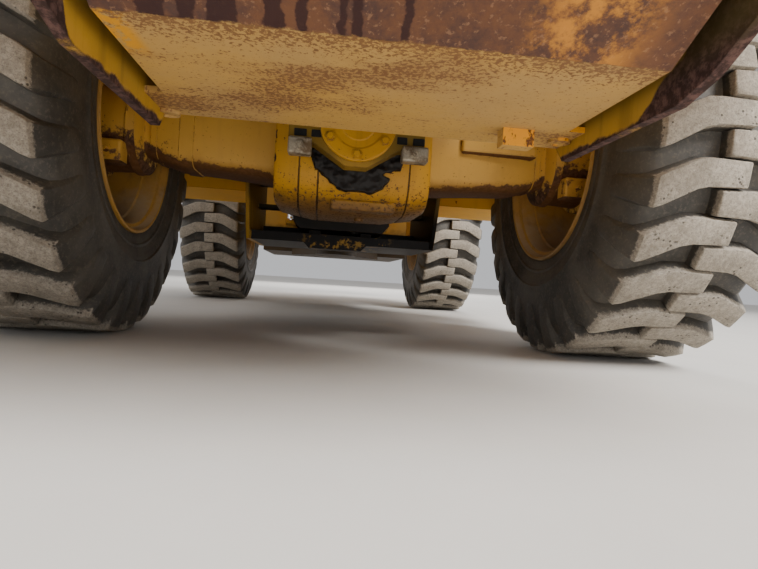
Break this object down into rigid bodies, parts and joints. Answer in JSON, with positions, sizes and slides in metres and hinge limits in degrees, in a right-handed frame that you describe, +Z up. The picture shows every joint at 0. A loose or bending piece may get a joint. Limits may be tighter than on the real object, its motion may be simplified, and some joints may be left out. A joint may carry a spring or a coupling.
{
  "type": "wheel loader",
  "caption": "Articulated wheel loader with cab, rear engine hood, counterweight, lugged tyres and a front bucket on a lever boom linkage.",
  "frame": {"origin": "on the ground at the middle of the loader's length and width", "axes": "+Y forward, +Z up, +X to the loader's right"},
  "size_m": [2.58, 7.8144, 3.2083],
  "materials": {
    "yellow_paint": "worn satin",
    "black_steel": "satin",
    "worn_steel": "worn",
    "chrome_rod": "polished",
    "tyre_rubber": "dusty",
    "black_plastic": "matte",
    "seat_cover": "matte",
    "window": "clear"
  },
  "bodies": {
    "rear": {"rear_frame": "yellow_paint", "belly_guard": "yellow_paint", "hood": "yellow_paint", "cab_mounts": "yellow_paint", "side_tanks": "yellow_paint", "rear_axle": "yellow_paint", "counterweight": "yellow_paint", "rear_fenders": "yellow_paint", "cab_shell": "yellow_paint", "cab_roof": "yellow_paint", "rear_grille": "black_steel", "steps": "black_steel", "tow_hitch": "black_steel", "radiator": "black_steel", "engine": "black_steel", "transmission": "black_steel", "console": "black_plastic", "steering_column": "black_plastic", "seat_base": "black_plastic", "seat": "seat_cover", "cab_glass": "window", "exhaust": "black_steel", "air_cleaner": "black_plastic", "work_lamps": "black_plastic", "mirrors": "black_plastic", "handrails": "black_steel"},
    "front": {"front_frame": "yellow_paint", "front_axle": "yellow_paint", "front_fenders": "yellow_paint", "head_lamps": "black_plastic"},
    "boom": {"boom": "yellow_paint"},
    "tilt_lever": {"tilt_lever": "yellow_paint"},
    "link": {"link": "yellow_paint"},
    "bucket": {"bucket": "yellow_paint", "bucket_teeth": "worn_steel"},
    "tilt_barrel": {"tilt_barrel": "yellow_paint"},
    "tilt_rod": {"tilt_rod": "chrome_rod"},
    "lift_barrel_left": {"lift_barrel_left": "yellow_paint"},
    "lift_rod_left": {"lift_rod_left": "chrome_rod"},
    "steer_barrel_left": {"steer_barrel_left": "yellow_paint"},
    "steer_rod_left": {"steer_rod_left": "chrome_rod"},
    "engine_door_left": {"engine_door_left": "yellow_paint"},
    "wheel_rear_left": {"tyre_rear_left": "tyre_rubber", "rim_rear_left": "yellow_paint"},
    "wheel_front_left": {"tyre_front_left": "tyre_rubber", "rim_front_left": "yellow_paint"},
    "lift_barrel_right": {"lift_barrel_right": "yellow_paint"},
    "lift_rod_right": {"lift_rod_right": "chrome_rod"},
    "steer_barrel_right": {"steer_barrel_right": "yellow_paint"},
    "steer_rod_right": {"steer_rod_right": "chrome_rod"},
    "engine_door_right": {"engine_door_right": "yellow_paint"},
    "wheel_rear_right": {"tyre_rear_right": "tyre_rubber", "rim_rear_right": "yellow_paint"},
    "wheel_front_right": {"tyre_front_right": "tyre_rubber", "rim_front_right": "yellow_paint"},
    "cab_door": {"cab_door": "yellow_paint", "door_glass": "window"}
  },
  "joints": [
    {"name": "articulation", "type": "hinge", "parent": "rear", "child": "front", "pos_m": [0, -0.557, 0.7], "axis": [0, 0, 1], "range_deg": [-38, 38]},
    {"name": "boom_lift", "type": "hinge", "parent": "front", "child": "boom", "pos_m": [0, 0.318, 1.9], "axis": [1, 0, 0], "range_deg": [-21.6, 60]},
    {"name": "bucket_tilt", "type": "hinge", "parent": "boom", "child": "bucket", "pos_m": [0, 2.57239, 1.02015], "axis": [-1, 0, 0], "range_deg": [-40, 100]},
    {"name": "lever_turn", "type": "hinge", "parent": "boom", "child": "tilt_lever", "pos_m": [0, 1.78806, 1.54095], "axis": [-1, 0, 0], "range_deg": [-40, 100]},
    {"name": "link_turn", "type": "hinge", "parent": "tilt_lever", "child": "link", "pos_m": [0, 1.84695, 1.83511], "axis": [-1, 0, 0], "range_deg": [-100, 40]},
    {"name": "tilt_barrel_turn", "type": "hinge", "parent": "front", "child": "tilt_barrel", "pos_m": [0, 0.318, 1.9], "axis": [1, 0, 0], "range_deg": [-21.6, 60]},
    {"name": "tilt_rod_slide", "type": "slide", "parent": "tilt_barrel", "child": "tilt_rod", "axis": [0, 0.9888, -0.1495], "range_m": [-0.101, 0.25]},
    {"name": "lift_barrel_left_turn", "type": "hinge", "parent": "front", "child": "lift_barrel_left", "pos_m": [-0.285, -0.012, 1.12], "axis": [1, 0, 0], "range_deg": [-11.88, 33]},
    {"name": "lift_rod_left_slide", "type": "slide", "parent": "lift_barrel_left", "child": "lift_rod_left", "axis": [0, 0.9481, 0.3181], "range_m": [-0.191, 0.529]},
    {"name": "lift_barrel_right_turn", "type": "hinge", "parent": "front", "child": "lift_barrel_right", "pos_m": [0.285, -0.012, 1.12], "axis": [1, 0, 0], "range_deg": [-11.88, 33]},
    {"name": "lift_rod_right_slide", "type": "slide", "parent": "lift_barrel_right", "child": "lift_rod_right", "axis": [0, 0.9481, 0.3181], "range_m": [-0.191, 0.529]},
    {"name": "steer_barrel_left_turn", "type": "hinge", "parent": "rear", "child": "steer_barrel_left", "pos_m": [-0.26, -1.157, 0.64], "axis": [0, 0, 1], "range_deg": [-10.83, 10.83]},
    {"name": "steer_rod_left_slide", "type": "slide", "parent": "steer_barrel_left", "child": "steer_rod_left", "axis": [-0.0487, 0.9988, 0], "range_m": [-0.189, 0.189]},
    {"name": "steer_barrel_right_turn", "type": "hinge", "parent": "rear", "child": "steer_barrel_right", "pos_m": [0.26, -1.157, 0.64], "axis": [0, 0, 1], "range_deg": [-10.83, 10.83]},
    {"name": "steer_rod_right_slide", "type": "slide", "parent": "steer_barrel_right", "child": "steer_rod_right", "axis": [0.0487, 0.9988, 0], "range_m": [-0.189, 0.189]},
    {"name": "wheel_rear_left_spin", "type": "hinge", "parent": "rear", "child": "wheel_rear_left", "pos_m": [-0.97, -2.032, 0.7], "axis": [1, 0, 0], "continuous": true},
    {"name": "wheel_rear_right_spin", "type": "hinge", "parent": "rear", "child": "wheel_rear_right", "pos_m": [0.97, -2.032, 0.7], "axis": [1, 0, 0], "continuous": true},
    {"name": "wheel_front_left_spin", "type": "hinge", "parent": "front", "child": "wheel_front_left", "pos_m": [-0.97, 0.918, 0.7], "axis": [1, 0, 0], "continuous": true},
    {"name": "wheel_front_right_spin", "type": "hinge", "parent": "front", "child": "wheel_front_right", "pos_m": [0.97, 0.918, 0.7], "axis": [1, 0, 0], "continuous": true},
    {"name": "cab_door_swing", "type": "hinge", "parent": "rear", "child": "cab_door", "pos_m": [-0.676, -1.686, 1.56], "axis": [0, 0, 1], "range_deg": [0, 95]},
    {"name": "engine_door_left_lift", "type": "hinge", "parent": "rear", "child": "engine_door_left", "pos_m": [-0.536, -2.032, 1.95], "axis": [0, 1, 0], "range_deg": [0, 75]},
    {"name": "engine_door_right_lift", "type": "hinge", "parent": "rear", "child": "engine_door_right", "pos_m": [0.536, -2.032, 1.95], "axis": [0, -1, 0], "range_deg": [0, 75]}
  ],
  "couplings": [
    {"joint": "lever_turn", "follows": "bucket_tilt", "ratio": 1},
    {"joint": "link_turn", "follows": "bucket_tilt", "ratio": -1},
    {"joint": "tilt_barrel_turn", "follows": "boom_lift", "ratio": 1},
    {"joint": "tilt_rod_slide", "follows": "bucket_tilt", "m_per_rad": 0.14259},
    {"joint": "lift_barrel_left_turn", "follows": "boom_lift", "ratio": 0.55},
    {"joint": "lift_rod_left_slide", "follows": "boom_lift", "m_per_rad": 0.50466},
    {"joint": "lift_barrel_right_turn", "follows": "boom_lift", "ratio": 0.55},
    {"joint": "lift_rod_right_slide", "follows": "boom_lift", "m_per_rad": 0.50466},
    {"joint": "steer_barrel_left_turn", "follows": "articulation", "ratio": 0.285},
    {"joint": "steer_rod_left_slide", "follows": "articulation", "m_per_rad": -0.28386},
    {"joint": "steer_barrel_right_turn", "follows": "articulation", "ratio": 0.285},
    {"joint": "steer_rod_right_slide", "follows": "articulation", "m_per_rad": 0.28386}
  ]
}
